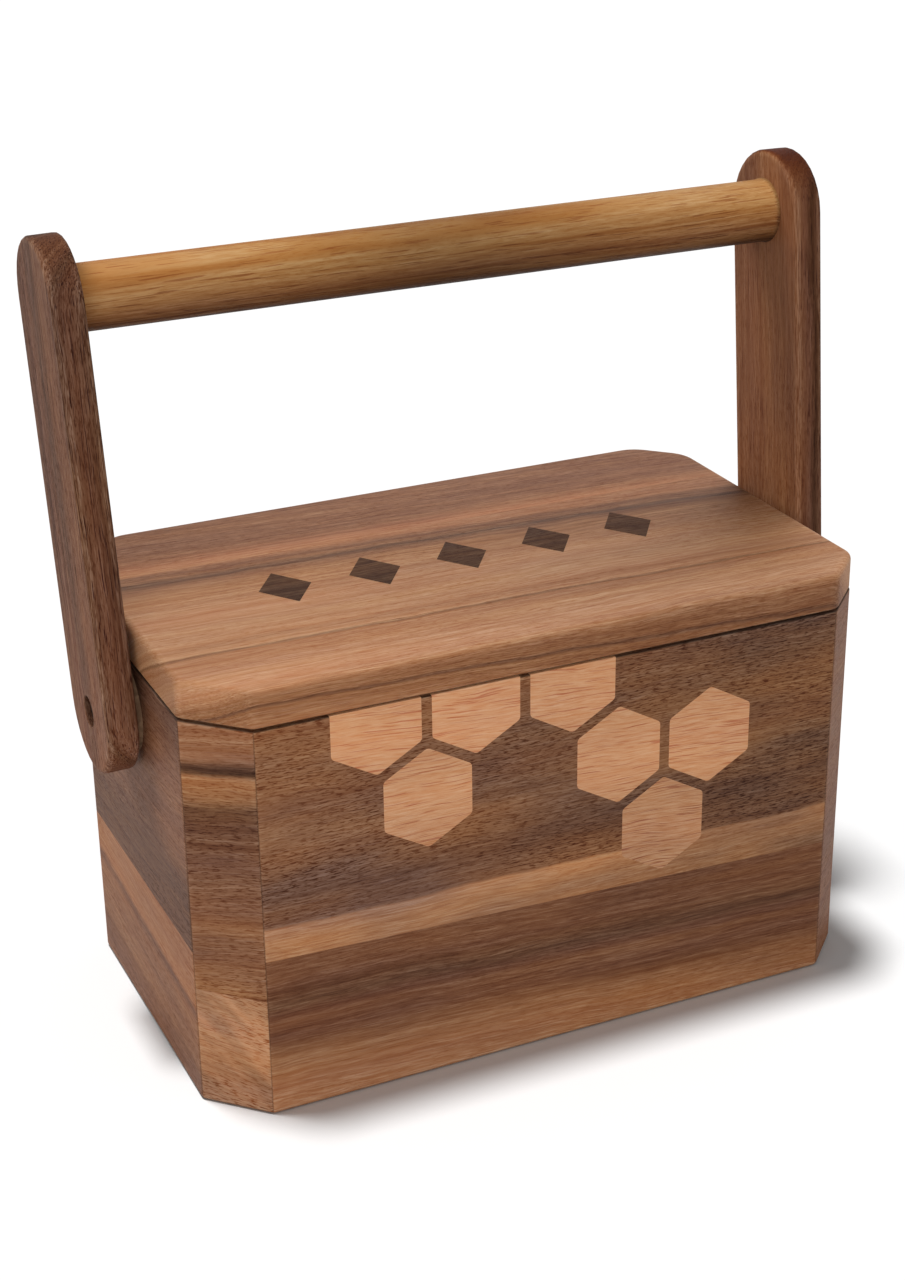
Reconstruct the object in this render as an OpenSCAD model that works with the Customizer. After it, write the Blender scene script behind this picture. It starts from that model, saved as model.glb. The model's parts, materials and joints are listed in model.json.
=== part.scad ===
// Etrog box: an octagonal case of edge-glued staves, a lift-off lid and a swinging carry handle.
// Millimetres. X runs along the box, Y to the back and Z up. The origin is the middle of the underside.

/* [Case] */
// Length of the case
case_l = 180; // [150:1:240]
// Depth of the case, front to back
case_d = 107; // [90:1:120]
// Height of the case without its lid
case_h = 103.5; // [90:0.5:140]
// Thickness of the staves
wall = 10; // [7:0.5:13]
// Leg of the two chamfered corners at the left end
corner_left = 13.5; // [11:0.5:20]
// Leg of the two chamfered corners at the right end
corner_right = 11.5; // [11:0.5:20]
// Thickness of the bottom board
bottom_t = 8; // [5:0.5:12]
// How far the bottom board reaches into the staves
bottom_rabbet = 5; // [3:0.5:6]

/* [Stave joints] */
// Height of the glue joint at the middle of the front stave
front_joint = 40.5; // [20:0.5:55]
// How much lower the front joint ends at the right than at the left
front_joint_fall = 6; // [-8:0.5:8]
// Height of the glue joint in the end staves
end_joint = 42; // [20:0.5:55]
// Height of the glue joint in the back stave
back_joint = 46; // [20:0.5:55]
// Height of the glue joint in the corner staves
corner_joint = 32; // [20:0.5:55]

/* [Hexagon inlay] */
// Distance between the centres of neighbouring cells
hex_pitch = 25.5; // [18:0.5:29]
// Width of the dark line between two cells
hex_line = 2.6; // [1.5:0.1:4]
// Corner radius of a cell
hex_round = 1.4; // [0.5:0.1:2.5]
// How far the centres of the top row lie below the rim
hex_drop = 4.4; // [0:0.1:9]
// Shift of the pattern along the front from its middle
hex_shift = -2; // [-5:0.5:5]
// Thickness of the cells
hex_t = 2; // [1:0.5:4]

/* [Lid] */
// Thickness of the lid
lid_t = 9.5; // [7:0.5:14]
// Radius of the rounded top edge of the lid
lid_round = 2.5; // [1:0.5:5]
// Radius of the upright corner edges of the lid
lid_corner = 6; // [5.5:0.5:10]
// Gap between the rim and the lid
lid_gap = 0.5; // [0.3:0.1:1]
// How far the joint of the two lid boards lies behind the middle
lid_joint = 23; // [-20:1:30]
// Width of the battens under the lid
batten_w = 14; // [10:1:20]
// Thickness of the battens
batten_t = 6; // [4:0.5:9]
// Play of the battens inside the case
lid_play = 0.8; // [0.4:0.1:1.5]

/* [Batten screws] */
// Shank diameter of the batten screws
batten_screw_d = 3; // [2.5:0.5:4]
// Head diameter of the batten screws
batten_screw_head_d = 5.6; // [5:0.2:8]
// Length of the screws inside the lid boards
batten_screw_bite = 4; // [2:0.5:4.5]
// Distance of the screws from the ends of their batten
batten_screw_inset = 12; // [10:0.5:20]
// Width of the slots in the screw heads
batten_screw_slot = 0.8; // [0.5:0.1:1.2]

/* [Lid inlay] */
// Distance between the centres of neighbouring lozenges
lozenge_pitch = 24; // [17:1:26]
// Length of a lozenge along the lid
lozenge_l = 14; // [8:1:16]
// Width of a lozenge
lozenge_w = 20; // [8:0.5:24]
// Thickness of the lozenges
lozenge_t = 1.2; // [0.8:0.1:2]

/* [Handle] */
// How far the pivots lie below the rim
pivot_drop = 13; // [10:0.5:18]
// Distance from the pivots to the middle of the grip
handle_reach = 99.5; // [95:0.5:140]
// Backward lean of the handle as it stands, in degrees
handle_lean = 7; // [0:0.5:15]
// Outward lean of the arms, which the grip holds a little apart, in degrees
arm_splay = 0.8; // [0:0.1:1.5]
// Width of the arms
arm_w = 31; // [22:1:36]
// Thickness of the arms
arm_t = 8; // [7:0.5:12]
// Diameter of the grip
grip_d = 16; // [12:0.5:20]
// Depth of the sockets that hold the grip
grip_socket = 4; // [2:0.5:5]

/* [Pivots] */
// Diameter of the screw shoulders that the arms turn on
shoulder_d = 5; // [4.5:0.5:6]
// Diameter of the pivot screws' heads
screw_head_d = 7; // [6.5:0.5:12]
// Height of the pivot screws' heads
screw_head_t = 3; // [2:0.5:3.5]
// Key width of the hexagon socket in the heads
screw_key = 2.5; // [2:0.5:4]
// Depth of the hexagon socket in the heads
screw_key_depth = 1.6; // [1:0.2:1.8]
// Depth of the counterbores that the heads sit in
counterbore_depth = 4.6; // [3.6:0.1:5]
// Thread diameter of the pivot screws
thread_d = 4; // [3:0.5:4]
// Outer diameter of the threaded inserts
insert_d = 6.5; // [5.5:0.5:9]
// Wood left behind the inserts
insert_skin = 2; // [1:0.5:4]
// Thickness of the washers between case and arms
washer_t = 1.6; // [1:0.1:3]
// Diameter of the washers
washer_d = 24; // [12:1:24]

/* [Clearances] */
// Radial play of the arms on the screw shoulders
pivot_play = 0.05; // [0.02:0.01:0.1]
// Play of the arms between washer and screw head
side_play = 0.1; // [0.05:0.05:0.3]
// Room round the screw heads in their counterbores
head_room = 0.3; // [0.2:0.1:1]
// Glue gap round whatever is set into a pocket, a hole or a rabbet
glue_gap = 0.05; // [0.02:0.01:0.2]

/* [Hidden] */
$fn = 64;

// The staves in order round the case, seen from above and counted anticlockwise from the front
FRONT = 0;
FRONT_RIGHT = 1;
RIGHT = 2;
BACK_RIGHT = 3;
BACK = 4;
BACK_LEFT = 5;
LEFT = 6;
FRONT_LEFT = 7;
STAVES = 8;

// Column and row of each cell of the honeycomb. The columns of every other row are half a step over.
HEX_CELLS = [[0, 0], [1, 0], [2, 0], [0.5, 1], [2.5, 1], [3.5, 1], [3, 2]];
LOZENGES = 5;
LEFT_SIDE = -1;
RIGHT_SIDE = 1;

hex_w = hex_pitch - hex_line;
hex_row = hex_pitch * sin(60);
hex_middle = max([for (cell = HEX_CELLS) cell[0]]) / 2;
arc_steps = 2;
round_steps = 8;
lid_z = case_h + lid_gap;
lid_top = lid_z + lid_t;
batten_z = lid_z - batten_t;
batten_x = case_l / 2 - wall - lid_play;
batten_screw_y = case_d / 2 - wall - lid_play - batten_screw_inset;
pivot_z = case_h - pivot_drop;
// Where the inner faces of the leaning arms cross the pivot axis and the axis of the grip
arm_in = case_l / 2 + washer_t + side_play + washer_d / 2 * tan(arm_splay);
grip_in = arm_in + handle_reach * tan(arm_splay);
head_in = arm_in + arm_t - counterbore_depth + side_play;
insert_l = wall - insert_skin;
over = 1;

heartwood = "#5f4230";
streaked_wood = "#7d5538";
corner_wood = "#8a5c39";
pale_wood = "#a87a48";
lid_wood = "#936846";
maple = "#d8a775";
dark_wood = "#2e1d14";
grip_wood = "#b07f48";
arm_wood = "#6a4a33";
steel = "#33312f";
brass = "#b08d4a";
fibre = "#a08464";

// Plan of the case moved inwards by inset: a rectangle with four corners cut at 45 degrees
function case_plan(inset = 0) =
    let (x = case_l / 2 - inset,
         y = case_d / 2 - inset,
         left = corner_left - inset * (2 - sqrt(2)),
         right = corner_right - inset * (2 - sqrt(2)))
    [[left - x, -y], [x - right, -y], [x, right - y], [x, y - right],
     [x - right, y], [left - x, y], [-x, y - left], [-x, left - y]];

// Plan of the lid moved inwards by inset. The normals of the two edges at corner k lie 22.5 degrees to
// either side of turn, and the corner is an arc between them.
function lid_plan(inset) =
    let (plan = case_plan(inset), r = lid_corner - inset, half = 180 / STAVES)
    [for (k = [0 : STAVES - 1], step = [-arc_steps : arc_steps])
        let (turn = (2 * k - 5) * half, arc = turn + half * step / arc_steps)
        plan[k] - r / cos(half) * [cos(turn), sin(turn)] + r * [cos(arc), sin(arc)]];

// Upright hexagon of width w with its corners rounded to radius r
function rounded_hexagon(w, r) =
    let (reach = (w / 2 - r) / cos(30))
    [for (corner = [0 : 5], step = [-arc_steps : arc_steps])
        let (turn = 90 + 60 * corner, arc = turn + 30 * step / arc_steps)
        reach * [cos(turn), sin(turn)] + r * [cos(arc), sin(arc)]];

function cell_centre(k) =
    let (cell = HEX_CELLS[k - 1])
    [hex_shift + (cell[0] - hex_middle) * hex_pitch, case_h - hex_drop - cell[1] * hex_row];

module plate(plan, low, high) translate([0, 0, low]) linear_extrude(high - low) polygon(plan);

// One stave from the table to the rim, mitred to its neighbours and rabbeted for the bottom board
module stave(side) {
    outer = case_plan();
    inner = case_plan(wall);
    next = (side + 1) % STAVES;
    difference() {
        plate([outer[side], outer[next], inner[next], inner[side]], 0, case_h);
        plate(case_plan(wall - bottom_rabbet), -over, bottom_t);
    }
}

// Everything under a glue joint at this height, which falls by so much along the case
module below_joint(height, fall) {
    rotate([90, 0, 0])
        linear_extrude(2 * case_d, center = true)
            polygon([[-case_l, height + fall], [case_l, height - fall],
                     [case_l, -case_h], [-case_l, -case_h]]);
}

module upper_board(side, height, fall = 0) {
    difference() {
        stave(side);
        below_joint(height, fall);
    }
}

module lower_board(side, height, fall = 0) {
    intersection() {
        stave(side);
        below_joint(height, fall);
    }
}

// A honeycomb cell in the front face, cut off where it meets the rim, or its pocket when it is grown
module honeycomb_cell(k, grow = 0) {
    centre = cell_centre(k);
    intersection() {
        translate([centre[0], hex_t + grow - case_d / 2, centre[1]])
            rotate([90, 0, 0])
                linear_extrude(hex_t + grow + (grow > 0 ? over : 0))
                    polygon(rounded_hexagon(hex_w + 2 * grow, hex_round + grow));
        translate([-case_l, -case_d, 0]) cube([2 * case_l, 2 * case_d, case_h + (grow > 0 ? over : 0)]);
    }
}

module honeycomb_pockets() for (k = [1 : len(HEX_CELLS)]) honeycomb_cell(k, glue_gap);

// Lays a shape drawn along +Z outwards on the pivot axis, at this distance from the middle of the case
module at_pivot(side, distance) {
    mirror([side == LEFT_SIDE ? 1 : 0, 0, 0])
        translate([distance, 0, pivot_z])
            rotate([0, 90, 0])
                children();
}

module insert_hole(side) {
    at_pivot(side, case_l / 2 - insert_l - glue_gap)
        cylinder(d = insert_d + 2 * glue_gap, h = insert_l + over);
}

module threaded_insert(side) {
    at_pivot(side, case_l / 2 - insert_l) difference() {
        cylinder(d = insert_d, h = insert_l);
        translate([0, 0, -over]) cylinder(d = thread_d + 2 * glue_gap, h = insert_l + 2 * over);
    }
}

module pivot_screw(side) {
    thread_l = insert_l - glue_gap;
    shoulder_l = head_in - case_l / 2;
    at_pivot(side, case_l / 2) difference() {
        union() {
            translate([0, 0, -thread_l]) cylinder(d = thread_d, h = thread_l);
            cylinder(d = shoulder_d, h = shoulder_l);
            translate([0, 0, shoulder_l]) cylinder(d = screw_head_d, h = screw_head_t);
        }
        translate([0, 0, shoulder_l + screw_head_t - screw_key_depth])
            cylinder(d = screw_key / cos(30), h = screw_key_depth + over, $fn = 6);
    }
}

module washer(side) {
    at_pivot(side, case_l / 2) difference() {
        cylinder(d = washer_d, h = washer_t);
        translate([0, 0, -over]) cylinder(d = shoulder_d + 2 * glue_gap, h = washer_t + 2 * over);
    }
}

// Places a shape drawn with the pivot at its origin and the handle along +Z
module on_handle() translate([0, 0, pivot_z]) rotate([-handle_lean, 0, 0]) children();

// Cylinder along X whose low end lies at x = from
module x_cylinder(d, from, h) translate([from, 0, 0]) rotate([0, 90, 0]) cylinder(d = d, h = h);

// The arm of the right end, round at both ends. It leans outwards, but its pivot bore, its counterbore and
// its grip socket are bored along the pivot axis.
module arm_shape() {
    arm_reach = handle_reach / cos(arm_splay);
    difference() {
        translate([arm_in, 0, 0]) rotate([0, arm_splay, 0]) rotate([90, 0, 90]) linear_extrude(arm_t) {
            circle(d = arm_w);
            translate([0, arm_reach]) circle(d = arm_w);
            translate([-arm_w / 2, 0]) square([arm_w, arm_reach]);
        }
        x_cylinder(shoulder_d + 2 * pivot_play, arm_in - over, arm_t + 2 * over);
        translate([arm_t - counterbore_depth, 0, 0])
            x_cylinder(screw_head_d + 2 * head_room, arm_in, counterbore_depth + over);
        translate([0, 0, handle_reach])
            x_cylinder(grip_d + 2 * glue_gap, grip_in - over, grip_socket + over);
    }
}

module arm(side) on_handle() mirror([side == LEFT_SIDE ? 1 : 0, 0, 0]) arm_shape();

// The whole lid: plates that step in round a quarter circle make its rounded top edge, and soft corners
module lid_blank() {
    hull() for (step = [0 : round_steps]) {
        turn = 90 * step / round_steps;
        plate(lid_plan(lid_round * (1 - cos(turn))), lid_z, lid_top - lid_round * (1 - sin(turn)));
    }
}

module lozenge(k, grow = 0) {
    x = lozenge_l / 2 + grow;
    y = lozenge_w / 2 + grow;
    translate([(k - (LOZENGES + 1) / 2) * lozenge_pitch, 0, 0])
        plate([[-x, 0], [0, -y], [x, 0], [0, y]],
              lid_top - lozenge_t - grow, lid_top + (grow > 0 ? over : 0));
}

// A countersunk screw standing on its head at the underside of a batten, or its hole when it is grown
module batten_screw(grow = 0) {
    shank = batten_screw_d / 2 + grow;
    head = batten_screw_head_d / 2 + grow;
    top = batten_t + batten_screw_bite + grow;
    rotate_extrude() polygon([[0, 0], [head, 0], [shank, head - shank], [shank, top], [0, top]]);
}

module at_batten_screws() {
    for (x = [-1, 1], y = [-1, 1])
        translate([x * (batten_x - batten_w / 2), y * batten_screw_y, batten_z]) children();
}

// The lid on one side of its glue joint, bored for the screws and pocketed for the lozenges
module lid_board(back) {
    difference() {
        lid_blank();
        translate([-case_l, lid_joint - (back ? 2 * case_d : 0), 0])
            cube([2 * case_l, 2 * case_d, 2 * case_h]);
        at_batten_screws() batten_screw(glue_gap);
        for (k = [1 : LOZENGES]) lozenge(k, glue_gap);
    }
}

// A batten across the lid, trimmed to the inside of the case
module batten(side) {
    difference() {
        intersection() {
            plate(case_plan(wall + lid_play), batten_z, lid_z);
            translate([side == LEFT_SIDE ? -batten_x : batten_x - batten_w, -case_d, batten_z])
                cube([batten_w, 2 * case_d, batten_t]);
        }
        at_batten_screws() batten_screw(glue_gap);
    }
}

module front_upper_board() color(heartwood) difference() {
    upper_board(FRONT, front_joint, front_joint_fall);
    honeycomb_pockets();
}
module front_lower_board() color(streaked_wood) difference() {
    lower_board(FRONT, front_joint, front_joint_fall);
    honeycomb_pockets();
}
module back_upper_board() color(heartwood) upper_board(BACK, back_joint);
module back_lower_board() color(streaked_wood) lower_board(BACK, back_joint);
module left_upper_board() color(heartwood) difference() {
    upper_board(LEFT, end_joint);
    insert_hole(LEFT_SIDE);
}
module left_lower_board() color(streaked_wood) lower_board(LEFT, end_joint);
module right_upper_board() color(heartwood) difference() {
    upper_board(RIGHT, end_joint);
    insert_hole(RIGHT_SIDE);
}
module right_lower_board() color(streaked_wood) lower_board(RIGHT, end_joint);
module front_left_corner_upper() color(corner_wood) upper_board(FRONT_LEFT, corner_joint);
module front_left_corner_lower() color(pale_wood) lower_board(FRONT_LEFT, corner_joint);
module front_right_corner_upper() color(corner_wood) upper_board(FRONT_RIGHT, corner_joint);
module front_right_corner_lower() color(pale_wood) lower_board(FRONT_RIGHT, corner_joint);
module back_left_corner_upper() color(corner_wood) upper_board(BACK_LEFT, corner_joint);
module back_left_corner_lower() color(pale_wood) lower_board(BACK_LEFT, corner_joint);
module back_right_corner_upper() color(corner_wood) upper_board(BACK_RIGHT, corner_joint);
module back_right_corner_lower() color(pale_wood) lower_board(BACK_RIGHT, corner_joint);
module bottom_board() color(streaked_wood)
    plate(case_plan(wall - bottom_rabbet + glue_gap), 0, bottom_t - glue_gap);
module left_insert() color(brass) threaded_insert(LEFT_SIDE);
module right_insert() color(brass) threaded_insert(RIGHT_SIDE);
module left_pivot_screw() color(steel) pivot_screw(LEFT_SIDE);
module right_pivot_screw() color(steel) pivot_screw(RIGHT_SIDE);
module left_washer() color(fibre) washer(LEFT_SIDE);
module right_washer() color(fibre) washer(RIGHT_SIDE);
module left_arm() color(arm_wood) arm(LEFT_SIDE);
module right_arm() color(arm_wood) arm(RIGHT_SIDE);
module grip() color(grip_wood) on_handle() translate([0, 0, handle_reach]) {
    end = grip_in + grip_socket - glue_gap;
    x_cylinder(grip_d, -end, 2 * end);
}
module lid_front_board() color(lid_wood) lid_board(back = false);
module lid_back_board() color(lid_wood) lid_board(back = true);
module left_batten() color(streaked_wood) batten(LEFT_SIDE);
module right_batten() color(streaked_wood) batten(RIGHT_SIDE);
module batten_screws() color(brass) at_batten_screws() difference() {
    batten_screw();
    translate([-batten_screw_head_d, -batten_screw_slot / 2, -over])
        cube([2 * batten_screw_head_d, batten_screw_slot, over + batten_screw_slot]);
}
module hex_cell(k) color(maple) honeycomb_cell(k);
module lid_lozenge(k) color(dark_wood) lozenge(k);

front_upper_board();
front_lower_board();
back_upper_board();
back_lower_board();
left_upper_board();
left_lower_board();
right_upper_board();
right_lower_board();
front_left_corner_upper();
front_left_corner_lower();
front_right_corner_upper();
front_right_corner_lower();
back_left_corner_upper();
back_left_corner_lower();
back_right_corner_upper();
back_right_corner_lower();
bottom_board();
left_insert();
right_insert();
left_pivot_screw();
right_pivot_screw();
left_washer();
right_washer();
left_arm();
right_arm();
grip();
lid_front_board();
lid_back_board();
left_batten();
right_batten();
batten_screws();
for (k = [1 : len(HEX_CELLS)]) hex_cell(k);
for (k = [1 : LOZENGES]) lid_lozenge(k);
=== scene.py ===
import json

import bpy
import numpy as np
from mathutils import Matrix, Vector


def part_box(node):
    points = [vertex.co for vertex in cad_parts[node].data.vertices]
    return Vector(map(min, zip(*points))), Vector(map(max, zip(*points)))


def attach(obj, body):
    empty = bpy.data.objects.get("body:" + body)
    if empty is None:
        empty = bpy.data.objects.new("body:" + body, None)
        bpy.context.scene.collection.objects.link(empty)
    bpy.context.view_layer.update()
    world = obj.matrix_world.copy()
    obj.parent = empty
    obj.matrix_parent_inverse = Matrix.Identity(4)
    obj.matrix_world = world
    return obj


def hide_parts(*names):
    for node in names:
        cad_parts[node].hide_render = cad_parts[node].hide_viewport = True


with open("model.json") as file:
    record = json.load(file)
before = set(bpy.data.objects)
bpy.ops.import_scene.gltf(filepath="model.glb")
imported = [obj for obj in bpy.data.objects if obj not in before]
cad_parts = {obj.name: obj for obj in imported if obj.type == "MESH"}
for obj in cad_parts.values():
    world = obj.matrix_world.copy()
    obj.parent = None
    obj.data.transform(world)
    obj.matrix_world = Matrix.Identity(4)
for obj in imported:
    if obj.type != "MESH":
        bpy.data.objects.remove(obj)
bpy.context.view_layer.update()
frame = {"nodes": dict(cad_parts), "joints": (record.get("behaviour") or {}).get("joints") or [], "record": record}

MM = 0.001
X, Y, Z = np.eye(3)
RECORD = frame["record"]
BODY = {node: body for body, nodes in RECORD["behaviour"]["bodies"].items() for node in nodes}


def corners(node):
    """Lowest and highest corner of a solid of the frame."""
    low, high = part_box(node)
    return np.array(low), np.array(high)


def nodes_named(start):
    """The nodes whose names start like this, in order."""
    return sorted(node for node in BODY if node.startswith(start))


# Sizes of the case, read from the frame
front_low, front_high = corners("front_upper_board")
base_high = corners("front_lower_board")[1]
bottom_high = corners("bottom_board")[1]
HALF_LENGTH = -corners("left_upper_board")[0][0]
HALF_DEPTH = -front_low[1]
RIM = front_high[2]
WALL = front_high[1] - front_low[1]
CORNER_LEFT = HALF_LENGTH + front_low[0]
CORNER_RIGHT = HALF_LENGTH - front_high[0]
BOTTOM = bottom_high[2]
RABBET = WALL - (HALF_DEPTH - bottom_high[1])
# The slanted glue joint of the front: its rise along x, and its height at the middle of the case
FRONT_RISE = (front_low[2] - base_high[2]) / (front_high[0] - front_low[0])
FRONT_JOINT = base_high[2] - FRONT_RISE * front_low[0]

# Sizes of the lid
lid_low, lid_high = corners("lid_front_board")
LID_FOOT = lid_low[2]
LID_JOINT = lid_high[1]
LID_TOP = lid_high[2]

# Sizes of the handle
grip_low, grip_high = corners("grip")
arm_low, arm_high = corners("right_arm")
PIVOT = np.array(frame["joints"][0]["pos_m"])
GRIP = (grip_low + grip_high) / 2
GRIP_RADIUS = (grip_high[2] - grip_low[2]) / 2
REACH = np.linalg.norm(GRIP - PIVOT)
HANDLE_UP = (GRIP - PIVOT) / REACH
HANDLE_BACK = np.array([0, HANDLE_UP[2], -HANDLE_UP[1]])
ARM_RADIUS = (arm_high[1] - arm_low[1] - (GRIP - PIVOT)[1]) / 2
# The arms lean outwards by their splay. At ARM_IN their inner faces cross the pivot axis, and at GRIP_IN the
# axis of the grip.
ARM_SPLAY = np.radians(0.8)
ARM_IN = arm_low[0] + ARM_RADIUS * np.sin(ARM_SPLAY)
GRIP_IN = ARM_IN + REACH * np.tan(ARM_SPLAY)
ARM_THICK = arm_high[0] - GRIP_IN - ARM_RADIUS * np.sin(ARM_SPLAY)

# Radii of the eased edges and rounded corners, and the number of steps in each arc
ARRIS, ARRIS_STEPS = 2 * MM, 3
RIM_EASE, RIM_STEPS = 0.4 * MM, 3
BASE_EASE, BASE_STEPS = 1.1 * MM, 4
LID_ROUND, LID_ROUND_STEPS = 1.8 * MM, 8
LID_EASE, LID_EASE_STEPS = 0.4 * MM, 3
ARM_EASE, ARM_STEPS = 1.1 * MM, 4
INLAY_EASE, INLAY_STEPS = 0.12 * MM, 2
CELL_ROUND, CELL_STEPS = 1.4 * MM, 4
# The same for the lid's upright corner edges, anticlockwise from the left end of its front
LID_CORNERS, LID_CORNER_STEPS = np.array([3, 5, 5, 10, 10, 9, 9, 3]) * MM, 8
# Half of the angle by which the outline of the case turns at a corner
HALF_TURN = np.radians(22.5)
# Edges that bend by more than this are shaded as sharp
SHARP = np.radians(40)
# Width of the band beside an eased edge in which its wear fades out
FADE = 0.7 * MM
# How far an inlay stands out of its board
PROUD = 0.04 * MM

# The pivot holes of the arms
BORE_RADIUS = 2.55 * MM
COUNTERBORE_RADIUS = 3.8 * MM
COUNTERBORE_DEPTH = 4.6 * MM
HOLE_EASE = 0.3 * MM
# Angles of the rays that place the points along an arm, and the number of steps round each of its ends
ARM_RAYS = np.radians(np.arange(8, 81, 8))
ARM_BOW_STEPS = 16

# The grip: the share of its free length with evenly spaced points, and how many are along and round it
GRIP_RUN, GRIP_ALONG, GRIP_AROUND = 0.9, 31, 64
# The two waves of the grip's swell, each a share of its radius and a length
SWELLS = ((0.004, 31 * MM), (0.002, 11 * MM))
# The bead of glue at each arm: its height, and its profile as millimetres from the arm and shares of that
BEAD = 0.3 * MM
BEAD_PROFILE = np.array([(2.2, 0), (1.4, 0.05), (0.9, 0.35), (0.5, 0.8), (0.2, 1), (0, 1)])
# How much darker the grip's middle is, and how far from there
MIDDLE_DARK, MIDDLE_REACH = 0.54, 45 * MM

# Wear of the edges that aren't fully worn
ARRIS_WEAR = 0.3
LID_WEAR = 0.4
INLAY_WEAR = 0.5
MOUTH_WEAR = 0.6
# How dark the glue is in the mitres and the beads, and the painted shade in the mouths of the counterbores
MITRE_DARK = 0.6
BEAD_DARK = 0.6
MOUTH_SHADE = 0.6
# How dark the painted shade is on the easing between case and lid, from the side face inwards
GAP_SHADE = (0, 0.8, 1, 1)

# The sides of the case, anticlockwise. Each has the number of the corner where it starts.
FRONT, FRONT_RIGHT, RIGHT, BACK_RIGHT, BACK, BACK_LEFT, LEFT, FRONT_LEFT = range(8)


def unit(vector):
    """Vectors of length 1 with the same directions."""
    return vector / np.linalg.norm(vector, axis=-1, keepdims=True)


def case_plan(inset=0.0):
    """Corners of the case from above, moved inwards: a rectangle whose corners are cut at 45 degrees.
    They run anticlockwise and start at the left end of the front."""
    x = HALF_LENGTH - inset
    y = HALF_DEPTH - inset
    left = CORNER_LEFT - inset * (2 - np.sqrt(2))
    right = CORNER_RIGHT - inset * (2 - np.sqrt(2))
    return np.array([(left - x, -y), (x - right, -y), (x, right - y), (x, y - right),
                     (x - right, y), (left - x, y), (-x, y - left), (-x, left - y)])


def outward(plan):
    """Outward normal of each edge of an anticlockwise plan: the edge's direction turned right."""
    edge = unit(np.roll(plan, -1, axis=0) - plan)
    return np.stack([edge[:, 1], -edge[:, 0]], axis=1)


def inset_move(plan, weight):
    """How each corner moves when every edge moves inwards by its weight. A corner stays on both of its
    edges, so its move m solves normal . m = -weight for the edge before it and the edge after it."""
    normal = outward(plan)
    pair = np.stack([np.roll(normal, 1, axis=0), normal], axis=1)
    pull = np.stack([np.roll(weight, 1), weight], axis=1)
    return -(np.linalg.pinv(pair, rcond=1e-6) @ pull[..., None])[..., 0]


def quarter_round(radius, steps):
    """Inset and drop of a quarter circle from the side face to the top face, step by step."""
    turn = np.linspace(0, np.pi / 2, steps + 1)
    return np.stack([radius * (1 - np.cos(turn)), radius * (1 - np.sin(turn))], axis=1)


def ring_faces(rings, around, closed=False):
    """Four-cornered faces between each ring of points and the next, and back to the first if closed."""
    ring = np.arange(rings if closed else rings - 1)[:, None]
    step = np.arange(around)[None, :]
    after = (ring + 1) % rings
    beside = (step + 1) % around
    quads = np.stack([ring * around + step, ring * around + beside,
                      after * around + beside, after * around + step], axis=-1)
    return quads.reshape(-1, 4).tolist()


def capped_faces(rings, around):
    """Faces of a stack of rings that is closed by one flat face at each end."""
    first = list(range(around))
    last = list(range((rings - 1) * around, rings * around))
    return ring_faces(rings, around) + [first[::-1], last]


def stand_in(node, points, faces, finish, wear=0.0, glue=0.0, grain=np.zeros(3)):
    """Makes a mesh that takes the place of a solid: on its body, and with numbers from 0 to 1
    on every point for the wear of its edges, for glue and painted shade, and for how far it shows end grain,
    which is the cube of how far its normal points along the grain."""
    points = points.reshape(-1, 3)
    mesh = bpy.data.meshes.new(node + "_surface")
    mesh.from_pydata(points.tolist(), [], faces)
    normals = np.empty(points.size, np.float32)
    mesh.vertex_normals.foreach_get("vector", normals)
    end = np.abs(normals.reshape(-1, 3) @ grain) ** 3
    for name, values in (("wear", wear), ("glue", glue), ("end", end)):
        marks = np.broadcast_to(np.asarray(values, np.float32).ravel(), len(points))
        mesh.attributes.new(name, "FLOAT", "POINT").data.foreach_set("value", np.ascontiguousarray(marks))
    mesh.polygons.foreach_set("use_smooth", np.ones(len(mesh.polygons), bool))
    mesh.set_sharp_from_angle(angle=SHARP)
    mesh.materials.append(finish)
    piece = bpy.data.objects.new(node + "_dressed", mesh)
    bpy.context.scene.collection.objects.link(piece)
    flat = piece.modifiers.new("flat_faces", "WEIGHTED_NORMAL")
    flat.keep_sharp = True
    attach(piece, BODY[node])
    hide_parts(node)
    return piece


def stave_plan(side):
    """Plan of one stave: its outer face with half of each softened arris, and its two inner corners.
    A half arris is an arc of half the corner's turn, from the mitre to the face, on a circle that touches
    both faces."""
    outer = case_plan()
    inner = case_plan(WALL)
    after = (side + 1) % len(outer)
    along = unit(outer[after] - outer[side])
    out = np.array([along[1], -along[0]])
    setback = ARRIS * np.tan(HALF_TURN)
    turn = np.linspace(-HALF_TURN, 0, ARRIS_STEPS + 1)[:, None]
    arc = ARRIS * (np.cos(turn) - 1) * out + (setback + ARRIS * np.sin(turn)) * along
    fade = (setback + FADE) * along
    mirrored = arc - 2 * (arc @ along)[:, None] * along
    return np.concatenate([outer[side] + arc, [outer[side] + fade, outer[after] - fade],
                           outer[after] + mirrored[::-1], [inner[after], inner[side]]])


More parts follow.
